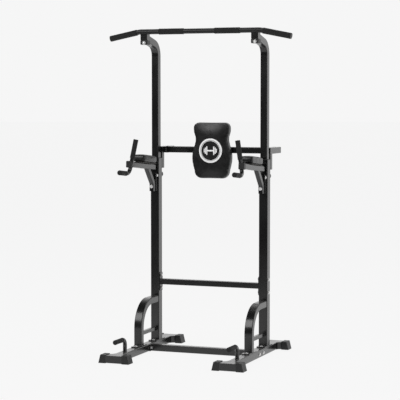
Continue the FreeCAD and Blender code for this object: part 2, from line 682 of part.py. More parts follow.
def backrest():
    body = doc.addObject("PartDesign::Body", "cushion_body")
    plane = [f for f in body.Origin.OriginFeatures if f.Role == "XZ_Plane"][0]
    sk = body.newObject("Sketcher::SketchObject", "cushion_outline")
    sk.AttachmentSupport = [(plane, "")]
    sk.MapMode = "FlatFace"
    tall = num("cushion_top - cushion_bottom")
    for geometry in cushion_outline(tall):
        sk.addGeometry(geometry)
    pad = body.newObject("PartDesign::Pad", "cushion_pad")
    pad.Profile = sk
    bind(pad, "Length", "cushion_t")
    place(body, 0, "cushion_y + cushion_t", "cushion_bottom")
    part("back_cushion", body)

    y = "cushion_y + cushion_t + soft_gap + back_board_t / 2"
    board = box(0, y, "cushion_bottom + 30", 156, "back_board_t", "cushion_top - cushion_bottom - 60")
    part("cushion_board", rounded(board, "y", 30))
    front = "cushion_y + cushion_t + soft_gap + back_board_t"
    gap = "back_bar_y - back_bar / 2 - (%s)" % front
    plate = box(0, "%s + (%s) / 2" % (front, gap), "stub_top - stub_d / 2 - 60", 130, gap, 120)
    part("cushion_plate", rounded(plate, "y", 8))


def push_up_handles():
    foot_z = at("post_x", "push_y", "rail_z + rail_h")
    corner = at("post_x", "push_y", "push_z")
    front = at("post_x", "push_front", "push_z")
    bent = bent_tube([foot_z, corner, front], [num("push_bend")], num("push_d"), num("wall"))
    pair("push_up_handle", feature(bent))
    radius = num("push_grip_d") / 2
    grip = ring(front, V(0, 1, 0), num("push_grip_len"), radius, num("push_d") / 2)
    lid = Part.makeCylinder(radius, 2, front, V(0, -1, 0))
    both("push_up_grips", feature(grip.fuse(lid)))


def height_locks():
    case = rod("y", "post_x", "low_w / 2", "lock_z", "housing_d", "housing_len")
    bore = rod("y", "post_x", "low_w / 2 - 1", "lock_z", "pin_d + 2 * run_gap", "housing_len + 2")
    both("lock_housings", cut(case, bore))
    tip = "up_w / 2 + pin_gap"
    shank = rod("y", "post_x", tip, "lock_z", "pin_d", "knob_y + knob_len - (%s) - 2" % tip)
    knob = rod("y", "post_x", "knob_y", "lock_z", "knob_d", "knob_len")
    doc.recompute()
    soft = doc.addObject("Part::Fillet", "knob_edges")
    soft.Base = knob
    soft.Edges = [(i, 3, 3) for i, e in enumerate(knob.Shape.Edges, start=1)
                  if e.Curve.TypeId == "Part::GeomCircle"]
    pair("pull_pin", fuse(shank, soft))


def fasteners():
    x = V(1, 0, 0)
    z = V(0, 0, 1)
    face = "post_x + low_w / 2"
    long_places = []
    plate_places = []
    back_places = []
    flange_z = "rail_z + base_flange / 2"
    for s in "+-":
        long_places.append((at(face, "base_flange_y %s base_bolt_gap / 2" % s, flange_z), x))
        long_places.append((at(face, "0", "mid_z %s mid_bolt_gap / 2" % s), x))
        top = "rail_z + rail_h + plate"
        plate_places.append((at("post_x", "0 %s base_bolt_y" % s, top), z))
        plate_places.append((at("post_x", "side_y %s side_bolt_gap / 2" % s, top), z))
        back_hole = "back_bar_y %s back_bolt_gap / 2" % s
        back_places.append((at("post_x - low_w / 2 - plate", back_hole, "stub_top - stub_d / 2"), x * -1))
    bolts("through_bolts", sides(long_places), "low_w + plate + nut_t", True)
    bolts("plate_bolts", sides(plate_places), "plate + wall")
    bolts("back_bar_bolts", sides(back_places), "plate + wall")
    tilt = math.radians(num("arm_tilt"))
    up = V(0, math.sin(tilt), math.cos(tilt))
    arm_axis = at("post_x", "arm_bolt_y", arm_height("arm_bolt_y"))
    bolts("arm_bolts", sides([(arm_axis + up * num("arm_w / 2"), up)]), "arm_w + nut_t", True)
    brace_front = at("post_x", "brace_y - brace_d / 2", "brace_bolt_z")
    bolts("brace_bolts", sides([(brace_front, V(0, -1, 0))]), "brace_d + 6")
    shoe_side = at("post_x + shoe_w / 2", "shoe_bolt_y", "shoe_bolt_z")
    bolts("shoe_bolts", sides([(shoe_side, x)]), "shoe_w + nut_t", True)
    neck_places = [(at("post_x", "-neck_end - 4", "plug_bottom + neck_bolt_up"), V(0, -1, 0))]
    bolts("neck_bolts", sides(neck_places), "neck_bolt_len")


base()
posts()
rear_brackets()
side_supports()
upper_frame()
dip_station()
backrest()
push_up_handles()
height_locks()
fasteners()
doc.recompute()

for obj in doc.Objects:
    bad = [state for state in obj.State if state in ("Invalid", "Error")]
    if bad:
        raise RuntimeError("%s (%s) is %s" % (obj.Label, obj.Name, bad))
for name, obj in PARTS.items():
    if obj.Shape.isNull() or not obj.Shape.isValid():
        raise RuntimeError(name + " has no valid shape")
for name, obj in PARTS.items():
    obj.Shape.exportStep("parts/%s.step" % name)
    print(name, len(obj.Shape.Solids), round(obj.Shape.Volume / 1000, 1))
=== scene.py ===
import json
import math

import bmesh
import bpy
import numpy as np
from mathutils import Matrix, Vector
from mathutils.bvhtree import BVHTree
from mathutils.kdtree import KDTree


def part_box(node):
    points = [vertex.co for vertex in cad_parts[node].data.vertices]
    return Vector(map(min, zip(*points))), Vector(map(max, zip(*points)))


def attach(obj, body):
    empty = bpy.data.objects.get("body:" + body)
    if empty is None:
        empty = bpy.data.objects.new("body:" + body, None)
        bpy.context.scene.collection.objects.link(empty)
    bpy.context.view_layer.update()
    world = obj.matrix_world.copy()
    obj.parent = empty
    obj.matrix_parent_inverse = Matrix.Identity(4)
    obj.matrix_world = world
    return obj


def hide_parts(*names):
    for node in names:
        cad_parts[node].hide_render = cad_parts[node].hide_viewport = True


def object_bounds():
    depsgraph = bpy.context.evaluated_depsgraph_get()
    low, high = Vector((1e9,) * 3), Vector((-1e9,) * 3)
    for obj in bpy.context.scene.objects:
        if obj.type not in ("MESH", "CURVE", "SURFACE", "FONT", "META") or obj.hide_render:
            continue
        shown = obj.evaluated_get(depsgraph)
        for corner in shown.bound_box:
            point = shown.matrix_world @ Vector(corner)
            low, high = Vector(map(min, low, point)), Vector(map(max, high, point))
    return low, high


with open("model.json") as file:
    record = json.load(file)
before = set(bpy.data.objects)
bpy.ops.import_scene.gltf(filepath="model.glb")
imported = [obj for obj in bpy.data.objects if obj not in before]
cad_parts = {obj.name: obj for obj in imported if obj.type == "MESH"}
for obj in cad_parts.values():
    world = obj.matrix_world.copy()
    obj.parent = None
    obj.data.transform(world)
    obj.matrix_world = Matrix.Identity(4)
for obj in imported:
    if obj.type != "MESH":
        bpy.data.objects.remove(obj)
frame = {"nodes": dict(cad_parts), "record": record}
cad_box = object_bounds()
nodes = frame["nodes"]
slots = {entry["node"]: entry["material_slot"] for entry in frame["record"]["subparts"]}
MM = 0.001


# ---------------------------------------------------------------- materials

class Graph:
    """A node material with short calls for what the finishes below need."""

    def __init__(self, name):
        self.material = bpy.data.materials.new(name)
        self.material.use_nodes = True
        self.tree = self.material.node_tree
        self.shader = self.tree.nodes["Principled BSDF"]
        self.where = self.add("ShaderNodeTexCoord").outputs["Object"]

    def add(self, kind, **settings):
        node = self.tree.nodes.new(kind)
        for key, value in settings.items():
            setattr(node, key, value)
        return node

    def join(self, source, socket):
        if hasattr(source, "is_output"):
            self.tree.links.new(source, socket)
        else:
            socket.default_value = source

    def noise(self, scale, detail=2.0, stretch=(1, 1, 1)):
        """Noise with features of about 1 / scale metres."""
        sizing = self.add("ShaderNodeMapping")
        self.join(self.where, sizing.inputs["Vector"])
        sizing.inputs["Scale"].default_value = stretch
        node = self.add("ShaderNodeTexNoise")
        self.join(sizing.outputs["Vector"], node.inputs["Vector"])
        node.inputs["Scale"].default_value = scale
        node.inputs["Detail"].default_value = detail
        return node.outputs["Fac"]

    def cells(self, scale, feature="DISTANCE_TO_EDGE"):
        node = self.add("ShaderNodeTexVoronoi", feature=feature)
        self.join(self.where, node.inputs["Vector"])
        node.inputs["Scale"].default_value = scale
        return node.outputs["Distance"]

    def spread(self, value, low, high, start=0.3, stop=0.7):
        """Maps value from start..stop to low..high, smoothly."""
        node = self.add("ShaderNodeMapRange", interpolation_type="SMOOTHSTEP")
        self.join(value, node.inputs["Value"])
        node.inputs["From Min"].default_value = start
        node.inputs["From Max"].default_value = stop
        node.inputs["To Min"].default_value = low
        node.inputs["To Max"].default_value = high
        return node.outputs["Result"]

    def calc(self, operation, a, b=0.0):
        node = self.add("ShaderNodeMath", operation=operation)
        self.join(a, node.inputs[0])
        self.join(b, node.inputs[1])
        return node.outputs[0]

    def tint(self, factor, dark, light):
        node = self.add("ShaderNodeMix", data_type="RGBA")
        self.join(factor, node.inputs["Factor"])
        for socket, colour in zip(("A", "B"), (dark, light)):
            target = [i for i in node.inputs if i.name == socket and i.type == "RGBA"][0]
            self.join(colour if hasattr(colour, "is_output") else (*colour, 1.0), target)
        return [o for o in node.outputs if o.type == "RGBA"][0]

    def bump(self, height, distance, strength=1.0, under=None):
        node = self.add("ShaderNodeBump")
        self.join(height, node.inputs["Height"])
        node.inputs["Distance"].default_value = distance
        node.inputs["Strength"].default_value = strength
        if under is not None:
            self.join(under, node.inputs["Normal"])
        return node.outputs["Normal"]

    def finish(self, colour, roughness, normal, **constants):
        self.join(colour, self.shader.inputs["Base Color"])
        self.join(roughness, self.shader.inputs["Roughness"])
        self.join(normal, self.shader.inputs["Normal"])
        for key, value in constants.items():
            self.shader.inputs[key.replace("_", " ")].default_value = value
        return self.material


def grey(value, warm=0.0):
    return (value * (1 + warm), value, value * (1 - warm))


def powder_coat(name, low, high, rough, coat):
    """Black powder coat: slight orange peel, cloudy gloss, and a painted highlight on top faces, which are
    made paler in patches.
    """
    g = Graph(name)
    cloud = g.noise(7, 4)
    peel = g.noise(520, 2)
    speck = g.noise(1900, 1)
    colour = g.tint(g.spread(cloud, 0, 1), grey(low), grey(high, -0.02))
    up = g.add("ShaderNodeSeparateXYZ")
    g.join(g.add("ShaderNodeNewGeometry").outputs["Normal"], up.inputs[0])
    # Painted highlight: faces that look up get a paler colour in patches, standing in for the bright grazing
    # reflection on them, and a little more roughness.
    top = g.spread(up.outputs["Z"], 0, 1, 0.85, 1.0)
    painted_top_sheen = g.calc("MULTIPLY", top, g.spread(g.noise(60, 5), 0.3, 0.6))
    colour = g.tint(painted_top_sheen, colour, grey(0.2, 0.02))
    roughness = g.calc("ADD", g.spread(cloud, rough - 0.03, rough + 0.05), g.calc("MULTIPLY", painted_top_sheen, 0.1))
    normal = g.bump(peel, 0.03 * MM, 0.22)
    normal = g.bump(speck, 0.006 * MM, 0.2, normal)
    return g.finish(colour, roughness, normal, Coat_Weight=coat, Coat_Roughness=0.12)


def moulded_plastic(name, low, high, rough):
    """Satin moulded plastic with a fine spark-eroded grain and paler scuffs."""
    g = Graph(name)
    grain = g.noise(1500, 3)
    scuff = g.spread(g.noise(45, 6), 0, 1, 0.55, 0.75)
    colour = g.tint(scuff, grey(low), grey(high))
    roughness = g.spread(grain, rough - 0.06, rough + 0.08)
    return g.finish(colour, roughness, g.bump(grain, 0.06 * MM, 0.6), Specular_IOR_Level=0.45)


def foam_rubber():
    """Closed-cell foam: matte, with an open-pored skin."""
    g = Graph("foam_rubber")
    pores = g.cells(900)
    patch = g.noise(30, 4)
    dots = g.spread(pores, 0, 1, 0.02, 0.28)
    colour = g.tint(g.spread(patch, 0.15, 0.85), grey(0.008), grey(0.014))
    colour = g.tint(g.calc("MULTIPLY", dots, 0.4), colour, grey(0.022))
    roughness = g.spread(patch, 0.68, 0.86)
    normal = g.bump(pores, 0.35 * MM, 0.7)
    normal = g.bump(g.noise(260, 3), 0.15 * MM, 0.4, normal)
    return g.finish(colour, roughness, normal, Specular_IOR_Level=0.35)


LEATHER_ROUGHNESS = 0.36
LEATHER_SHEEN = {"Sheen_Weight": 0.01, "Sheen_Roughness": 0.4, "Coat_Weight": 0.12, "Coat_Roughness": 0.25}


def leather_grain(g, rough):
    """Colour, roughness and normal of black leatherette with a pebbled grain."""
    pebble = g.spread(g.cells(620), 0, 1, 0.0, 0.22)
    fold = g.noise(38, 5)
    colour = g.tint(g.spread(fold, 0, 1), grey(0.003), grey(0.006))
    colour = g.tint(g.calc("MULTIPLY", pebble, 0.25), colour, grey(0.009))
    roughness = g.calc("ADD", g.spread(fold, rough - 0.04, rough + 0.04), g.calc("MULTIPLY", pebble, -0.05))
    normal = g.bump(pebble, 0.1 * MM, 0.4)
    normal = g.bump(g.noise(2400, 2), 0.015 * MM, 0.3, normal)
    return colour, roughness, normal


def leatherette():
    g = Graph("black_leatherette")
    return g.finish(*leather_grain(g, LEATHER_ROUGHNESS), **LEATHER_SHEEN)


# The print, in units of its half width: rings as (radius, half width of the line), and pairs of
# bars as (distance from the middle, half width, half height).
PRINT_RINGS = ((0.92, 0.07), (0.80, 0.018))
PRINT_BARS = ((0.0, 0.34, 0.055), (0.30, 0.045, 0.34), (0.42, 0.045, 0.25), (0.53, 0.035, 0.15))
PRINT_EDGE = 0.006
PRINT_WHITE = 0.97


def printed_leatherette(centre, scale):
    """Leatherette with a white print: a ring round a plain dumbbell, on the side that faces forward."""
    g = Graph("printed_leatherette")
    colour, roughness, normal = leather_grain(g, LEATHER_ROUGHNESS)
    place = g.add("ShaderNodeSeparateXYZ")
    g.join(g.where, place.inputs[0])
    across = g.calc("DIVIDE", g.calc("SUBTRACT", place.outputs["X"], centre.x), scale)
    along = g.calc("DIVIDE", g.calc("SUBTRACT", place.outputs["Z"], centre.z), scale)
    spread_x = g.calc("ABSOLUTE", across)

    def band(distance, half):
        """1 where distance from a line is less than half, with a soft edge."""
        return g.spread(distance, 1, 0, half - PRINT_EDGE, half + PRINT_EDGE)

    radius = g.calc("SQRT", g.calc("ADD", g.calc("POWER", across, 2), g.calc("POWER", along, 2)))
    shapes = [band(g.calc("ABSOLUTE", g.calc("SUBTRACT", radius, ring)), half) for ring, half in PRINT_RINGS]
    for x, half_x, half_z in PRINT_BARS:
        off_x = g.calc("ABSOLUTE", g.calc("SUBTRACT", spread_x, x))
        off_z = g.calc("ABSOLUTE", along)
        shapes.append(g.calc("MINIMUM", band(off_x, half_x), band(off_z, half_z)))
    mask = 0.0
    for shape in shapes:
        mask = g.calc("MAXIMUM", mask, shape)
    facing = g.spread(place.outputs["Y"], 1, 0, centre.y - 1 * MM, centre.y + 1 * MM)
    worn = g.spread(g.noise(700, 3), 0.94, 1.0, 0.25, 0.45)
    mask = g.calc("MULTIPLY", g.calc("MULTIPLY", mask, facing), worn)
    colour = g.tint(mask, colour, grey(PRINT_WHITE))
    return g.finish(colour, roughness, normal, **LEATHER_SHEEN)


def zinc_plate():
    """Bright zinc plating: fine turning marks, cloudy gloss."""
    g = Graph("bright_zinc")
    cloud = g.noise(160, 3)
    colour = g.tint(g.spread(cloud, 0, 1), (0.62, 0.63, 0.65), (0.78, 0.77, 0.74))
    roughness = g.spread(g.noise(420, 3), 0.3, 0.46)
    return g.finish(colour, roughness, g.bump(g.noise(1400, 2), 0.02 * MM, 0.5), Metallic=0.6)


def black_plywood():
    """Plywood under black paint: the grain still shows through."""
    g = Graph("black_plywood")
    fibre = g.noise(90, 5, (1, 14, 1))
    colour = g.tint(g.spread(fibre, 0, 1), grey(0.018, 0.05), grey(0.04, 0.08))
    return g.finish(colour, g.spread(fibre, 0.55, 0.75), g.bump(fibre, 0.12 * MM, 0.5))


def thread():
    """Twisted black cord for the piping."""
    g = Graph("black_thread")
    twist = g.noise(1500, 2, (1, 1, 3))
    colour = g.tint(g.spread(twist, 0, 1), grey(0.006), grey(0.02))
    return g.finish(colour, g.spread(twist, 0.45, 0.65), g.bump(twist, 0.1 * MM, 0.8))


# ---------------------------------------------------------------- mesh helpers

def add_mesh(name, mesh, smooth=True):
    if smooth:
        for face in mesh.polygons:
            face.use_smooth = True
    obj = bpy.data.objects.new(name, mesh)
    bpy.context.scene.collection.objects.link(obj)
    return obj


def from_bmesh(name, bm, smooth=True):
    mesh = bpy.data.meshes.new(name)
    bmesh.ops.recalc_face_normals(bm, faces=bm.faces)
    bm.to_mesh(mesh)
    bm.free()
    return add_mesh(name, mesh, smooth)


def dress(obj, material, body, slot, *replaced):
    """Gives a new piece its material and its body, and hides the CAD nodes it stands for; slot is not used.
    """
    obj.data.materials.clear()
    obj.data.materials.append(material)
    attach(obj, body)
    if replaced:
        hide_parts(*replaced)
    return obj


def applied(obj, *modifiers):
    """Adds modifiers given as (type, settings), and keeps their result as the mesh."""
    for kind, settings in modifiers:
        modifier = obj.modifiers.new(kind.lower(), kind)
        for key, value in settings.items():
            setattr(modifier, key, value)
    evaluated = obj.evaluated_get(bpy.context.evaluated_depsgraph_get())
    mesh = bpy.data.meshes.new_from_object(evaluated)
    obj.modifiers.clear()
    old = obj.data
    obj.data = mesh
    bpy.data.meshes.remove(old)
    for face in mesh.polygons:
        face.use_smooth = True
    return obj


def loose_parts(node):
    """The separate solids of a CAD node, each as an array of its points."""
    bm = bmesh.new()
    bm.from_mesh(nodes[node].data)
    bmesh.ops.remove_doubles(bm, verts=bm.verts, dist=0.01 * MM)
    unseen = set(bm.verts)
    found = []
    while unseen:
        stack = [unseen.pop()]
        group = []
        while stack:
            vert = stack.pop()
            group.append(tuple(vert.co))
            for edge in vert.link_edges:
                other = edge.other_vert(vert)
                if other in unseen:
                    unseen.remove(other)
                    stack.append(other)
        found.append(np.array(group))
    bm.free()
    return found


def cylinder_of(points):
    """Centre, axis, length and outer radius of a round part, from its points."""
    low, high = points.min(0), points.max(0)
    centre = (low + high) / 2
    spread = points - points.mean(0)
    axis = np.linalg.eigh(spread.T @ spread)[1][:, 2]
    along = (points - centre) @ axis
    off = (points - centre) - np.outer(along, axis)
    mid = centre + axis * (along.min() + along.max()) / 2
    return Vector(mid), Vector(axis), along.max() - along.min(), np.linalg.norm(off, axis=1).max()


def round_angles(count):
    """Angles at even steps round a full turn."""
    return [2 * math.pi * i / count for i in range(count)]


def turned(name, start, ahead, outline, segments=56):
    """A solid turned round an axis. The outline is (distance along, radius) from one end to the other."""
    ahead = ahead.normalized()
    side = ahead.orthogonal().normalized()
    other = ahead.cross(side)
    bm = bmesh.new()
    rings = []
    spokes = [side * math.cos(a) + other * math.sin(a) for a in round_angles(segments)]
    for along, radius in outline:
        rings.append([bm.verts.new(start + ahead * along + spoke * radius) for spoke in spokes])
    for a, b in zip(rings, rings[1:]):
        for i in range(segments):
            j = (i + 1) % segments
            bm.faces.new((a[i], a[j], b[j], b[i]))
    bm.faces.new(rings[0])
    bm.faces.new(rings[-1])
    return from_bmesh(name, bm)


def tube_along(bm, points, radius, sides=10, closed=True, ripple=0.0, pitch=2.2 * MM):
    """Adds a tube that follows points to bm; ripple swells it at every pitch, as on a weld bead."""
    count = len(points)
    rings = []
    travelled = 0.0
    lift = None
    for i, point in enumerate(points):
        before = points[i - 1] if i or closed else point
        after = points[(i + 1) % count] if i + 1 < count or closed else point
        ahead = (after - before).normalized()
        if lift is None:
            lift = ahead.orthogonal().normalized()
        lift = (lift - ahead * lift.dot(ahead)).normalized()
        other = ahead.cross(lift)
        size = radius * (1 + ripple * math.cos(2 * math.pi * travelled / pitch))
        rings.append([bm.verts.new(point + (lift * math.cos(a) + other * math.sin(a)) * size)
                      for a in round_angles(sides)])
        travelled += (points[(i + 1) % count] - point).length
    links = list(zip(rings, rings[1:]))
    if closed:
        links.append((rings[-1], rings[0]))
    for a, b in links:
        for k in range(sides):
            j = (k + 1) % sides
            bm.faces.new((a[k], a[j], b[j], b[k]))
    if not closed:
        bm.faces.new(rings[0])
        bm.faces.new(rings[-1])


def resample(points, step, closed=True):
    """Points at even spacing along a line."""
    ends = points + points[:1] if closed else points
    lengths = [(b - a).length for a, b in zip(ends, ends[1:])]
    total = sum(lengths)
    count = max(8, int(total / step))
    found = []
    index = 0
    walked = 0.0
    for i in range(count):
        target = total * i / (count if closed else count - 1)
        while index < len(lengths) - 1 and walked + lengths[index] < target:
            walked += lengths[index]
            index += 1
        share = (target - walked) / max(lengths[index], 1e-9)
        found.append(ends[index].lerp(ends[index + 1], min(share, 1.0)))
    return found


def smoothed(points, rounds):
    """A closed line with its corners relaxed."""
    for _ in range(rounds):
        count = len(points)
        points = [(points[i - 1] + points[i] * 2 + points[(i + 1) % count]) / 4 for i in range(count)]
    return points


# ---------------------------------------------------------------- cushion and pads

VOXEL = 4.5 * MM
BOARD_SIDE = 2.5 * MM
CLOTH_FRAMES = 20
CLOTH = {
    "quality": 5, "mass": 0.35, "tension_stiffness": 25, "compression_stiffness": 25,
    "bending_stiffness": 2, "use_pressure": True, "uniform_pressure_force": 4.0,
    "vertex_group_mass": "board",
}


def evaluated_points(obj):
    evaluated = obj.evaluated_get(bpy.context.evaluated_depsgraph_get())
    co = np.zeros(len(evaluated.data.vertices) * 3)
    evaluated.data.vertices.foreach_get("co", co)
    return co.reshape(-1, 3)


def evened(mesh, moved, still, rounds):
    """Spreads each point's movement over its neighbours, so that a firm filling shows no wrinkles."""
    ends = np.zeros(len(mesh.edges) * 2, dtype=int)
    mesh.edges.foreach_get("vertices", ends)
    first, second = ends[0::2], ends[1::2]
    count = np.bincount(ends, minlength=len(moved))[:, None]
    for _ in range(rounds):
        total = np.zeros_like(moved)
        np.add.at(total, first, moved[second])
        np.add.at(total, second, moved[first])
        moved = (moved + total / count) / 2
        moved[still] = 0
    return moved


def stuffed(name, node, inset, cap, flat_axis, firm):
    """A copy of a soft CAD solid, smaller by inset all round, blown up as cloth. The side that lies
    on its board, at the far end of flat_axis, is pinned. No point moves more than cap, and firm is
    how many times the movement is spread over neighbours."""
    obj = add_mesh(name, nodes[node].data.copy())
    low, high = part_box(node)
    centre = (low + high) / 2
    shrink = Matrix.Diagonal([1 - 2 * inset / (high - low)[i] for i in range(3)] + [1])
    obj.data.transform(Matrix.Translation(centre) @ shrink @ Matrix.Translation(-centre))
    applied(obj, ("REMESH", {"mode": "VOXEL", "voxel_size": VOXEL}),
            ("SMOOTH", {"factor": 0.5, "iterations": 2}))
    rest = evaluated_points(obj)
    depth = rest @ np.array(flat_axis)
    pinned = np.nonzero(depth > depth.max() - BOARD_SIDE)[0]
    group = obj.vertex_groups.new(name="board")
    group.add([int(i) for i in pinned], 1.0, "REPLACE")
    cloth = obj.modifiers.new("cloth", "CLOTH")
    for key, value in CLOTH.items():
        setattr(cloth.settings, key, value)
    cloth.settings.effector_weights.gravity = 0
    cloth.point_cache.frame_start = 1
    cloth.point_cache.frame_end = CLOTH_FRAMES
    for number in range(1, CLOTH_FRAMES + 1):
        bpy.context.scene.frame_set(number)
    moved = evaluated_points(obj) - rest
    obj.modifiers.clear()
    bpy.context.scene.frame_set(1)
    length = np.linalg.norm(moved, axis=1, keepdims=True)
    moved *= np.minimum(1.0, cap / np.maximum(length, 1e-9))
    moved = evened(obj.data, moved, pinned, firm)
    obj.data.vertices.foreach_set("co", (rest + moved).ravel())
    obj.data.update()
    return obj


def seam(obj, line, depth, reach):
    """Tucks the surface in along a line, and returns the line laid in the tuck."""
    bm = bmesh.new()
    bm.from_mesh(obj.data)
    tree = BVHTree.FromBMesh(bm)
    on_skin = [tree.find_nearest(point) for point in line]
    track = KDTree(len(on_skin))
    for i, hit in enumerate(on_skin):
        track.insert(hit[0], i)
    track.balance()
    bm.normal_update()
    for vert in bm.verts:
        distance = track.find(vert.co)[2]
        if distance < reach:
            vert.co -= vert.normal * depth * (1 - distance / reach) ** 1.5
    bm.to_mesh(obj.data)
    bm.free()
    return [point - normal * depth * 0.55 for point, normal, _, _ in on_skin]


def outline_of(node, axis, at_low):
    """The closed outline of one flat end of a CAD solid, in order round its middle."""
    co = np.array([v.co for v in nodes[node].data.vertices])
    level = co[:, axis].min() if at_low else co[:, axis].max()
    rim = co[np.abs(co[:, axis] - level) < 0.2 * MM]
    rim = np.unique(np.round(rim, 6), axis=0)
    others = [i for i in range(3) if i != axis]
    middle = (rim.min(0) + rim.max(0)) / 2
    angles = np.arctan2(rim[:, others[1]] - middle[others[1]], rim[:, others[0]] - middle[others[0]])
    return [Vector(p) for p in rim[np.argsort(angles)]]


def piping(name, obj, node, axis, offset, depth, reach, radius):
    """Corded seams round both flat ends of a soft solid, each in a tuck in the cover."""
    low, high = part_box(node)
    bm = bmesh.new()
    for at_low in (True, False):
        rim = smoothed(resample(outline_of(node, axis, at_low), 3 * MM), 4)
        for point in rim:
            point[axis] = low[axis] + offset if at_low else high[axis] - offset
        tube_along(bm, smoothed(seam(obj, rim, depth, reach), 2), radius)
    return from_bmesh(name, bm)


PRINT_SHARE = 0.29


def back_cushion(cord_material):
    node = "back_cushion"
    low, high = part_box(node)
    obj = stuffed("back_cushion_cover", node, inset=2 * MM, cap=12 * MM, flat_axis=(0, 1, 0), firm=170)
    applied(obj, ("SUBSURF", {"levels": 1}))
    seams = piping("back_cushion_piping", obj, node, axis=1, offset=6 * MM, depth=3.4 * MM,
                   reach=6 * MM, radius=1.2 * MM)
    dress(seams, cord_material, "frame", slots[node])
    print_size = (high.x - low.x) * PRINT_SHARE
    dress(obj, printed_leatherette((low + high) / 2, print_size), "frame", slots[node], node)


def twin_of(obj, name):
    """A mirror image of a right-hand piece."""
    twin = add_mesh(name, obj.data.copy())
    twin.data.transform(Matrix.Scale(-1, 4, (1, 0, 0)))
    twin.data.flip_normals()
    return twin


def arm_pads(cover, cord_material):
    """The right arm pad is stuffed once; the left one is its mirror image."""
    node = "arm_pad_right"
    right = stuffed("arm_pad_cover_right", node, inset=1 * MM, cap=4 * MM, flat_axis=(0, 0, -1), firm=12)
    applied(right, ("SUBSURF", {"levels": 1}))
    seams = piping("arm_pad_piping_right", right, node, axis=0, offset=3 * MM, depth=1.6 * MM,
                   reach=5 * MM, radius=0.9 * MM)
    left = twin_of(right, "arm_pad_cover_left")
    dress(twin_of(seams, "arm_pad_piping_left"), cord_material, "frame", slots[node])
    dress(seams, cord_material, "frame", slots[node])
    dress(right, cover, "frame", slots[node], node)
    dress(left, cover, "frame", slots[node], "arm_pad_left")


# ---------------------------------------------------------------- grips and other detail

FOAM_ROUNDING = 1.8 * MM
FOAM_STEP = 3 * MM
FOAM_SLIMMER = 0.3 * MM
SWELL, SWELL_FROM_END, SWELL_SPREAD = 0.25 * MM, 5 * MM, 4 * MM
RIPPLE, RIPPLE_LENGTH = 0.05 * MM, 1.1 * MM


def sleeve_outline(length, radius):
    """A foam sleeve: rounded ends, a faint swell behind each, and the ripple of the extrusion."""
    ending = []
    for step in range(6):
        angle = math.radians(18 * step)
        ending.append((FOAM_ROUNDING * (1 - math.cos(angle)), radius - FOAM_ROUNDING * (1 - math.sin(angle))))
    middle = []
    count = int(length / FOAM_STEP)
    for i in range(1, count):
        along = length * i / count
        from_end = min(along, length - along)
        swell = SWELL * math.exp(-((from_end - SWELL_FROM_END) / SWELL_SPREAD) ** 2)
        ripple = RIPPLE * math.sin(along / RIPPLE_LENGTH)
        middle.append((along, radius - FOAM_SLIMMER + swell + ripple))
    closing = [(length - along, r) for along, r in reversed(ending)]
    return ending + middle + closing


def foam_grips(node, body, foam):
    """Each sleeve of a grip node again, as soft foam."""
    for i, points in enumerate(loose_parts(node), start=1):
        mid, axis, length, radius = cylinder_of(points)
        start = mid - axis * (length / 2)
        piece = turned("%s_foam_%d" % (node, i), start, axis, sleeve_outline(length, radius))
        dress(piece, foam, body, slots[node], node)


WELD_RADIUS = 1.5 * MM
SADDLE_WELD_RADIUS = 1.4 * MM
WELD_RIPPLE = 0.16
WELD_STEP = 0.7 * MM
WELD_CORNER = 4 * MM
FLANGE = 5 * MM

# Node, width of its square tube, and how far the tube's middle is from the middle of the node's box.
CROSSBARS = (
    ("mid_crossbar", 32 * MM, 0, 0),
    ("back_crossbar", 35 * MM, 0, 0),
    ("base_crossbar", 37 * MM, -5 * MM, -1.2 * MM),
)


def rect_loop(normal_axis, level, a0, a1, b0, b1):
    """A rectangle with rounded corners in the plane at level across one axis."""
    loop = []
    for cx, cy, turn in ((a1, b1, 0), (a0, b1, 90), (a0, b0, 180), (a1, b0, 270)):
        sx = -1 if cx == a1 else 1
        sy = -1 if cy == b1 else 1
        for step in range(5):
            angle = math.radians(turn + 22.5 * step)
            a = cx + sx * WELD_CORNER + WELD_CORNER * math.cos(angle)
            b = cy + sy * WELD_CORNER + WELD_CORNER * math.sin(angle)
            point = [a, b]
            point.insert(normal_axis, level)
            loop.append(Vector(point))
    return resample(loop, WELD_STEP)


def circle_loop(centre, ahead, radius):
    side = ahead.orthogonal().normalized()
    other = ahead.cross(side)
    return [centre + (side * math.cos(a) + other * math.sin(a)) * radius for a in round_angles(96)]


def mirrored(loop):
    return [Vector((-p.x, p.y, p.z)) for p in loop]


def right_half(node):
    """The box of the right-hand solid of a node that holds a mirrored pair."""
    boxes = [(Vector(p.min(0)), Vector(p.max(0))) for p in loose_parts(node) if p[:, 0].mean() > 0]
    return boxes[0]


def side_support_welds():
    """Loops round both ends of the right curved support and of its strut."""
    low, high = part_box("side_support_right")
    plate_low, plate_high = right_half("support_plates")
    deep = (plate_low.y + plate_high.y) - 2 * low.y
    loops = [rect_loop(2, low.z, low.x, high.x, low.y, low.y + deep),
             rect_loop(1, high.y, low.x, high.x, high.z - deep, high.z)]
    low, high = right_half("support_struts")
    return loops + [rect_loop(1, level, low.x, high.x, low.z, high.z) for level in (low.y, high.y)]


def push_up_weld():
    """A loop round the foot of the right push-up handle."""
    low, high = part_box("push_up_handle_right")
    radius = (high.x - low.x) / 2
    foot_point = Vector(((low.x + high.x) / 2, high.y - radius, low.z))
    return circle_loop(foot_point, Vector((0, 0, 1)), radius)


def crossbar_welds():
    """Loops where the right ends of the crossbars meet their flanges, kept clear of the floor."""
    loops = []
    for node, wide, ahead, rise in CROSSBARS:
        low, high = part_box(node)
        y = (low.y + high.y) / 2 + ahead
        z = (low.z + high.z) / 2 + rise
        bottom = max(z - wide / 2, WELD_RADIUS * 1.2)
        loops.append(rect_loop(0, high.x - FLANGE, y - wide / 2, y + wide / 2, bottom, z + wide / 2))
    return loops


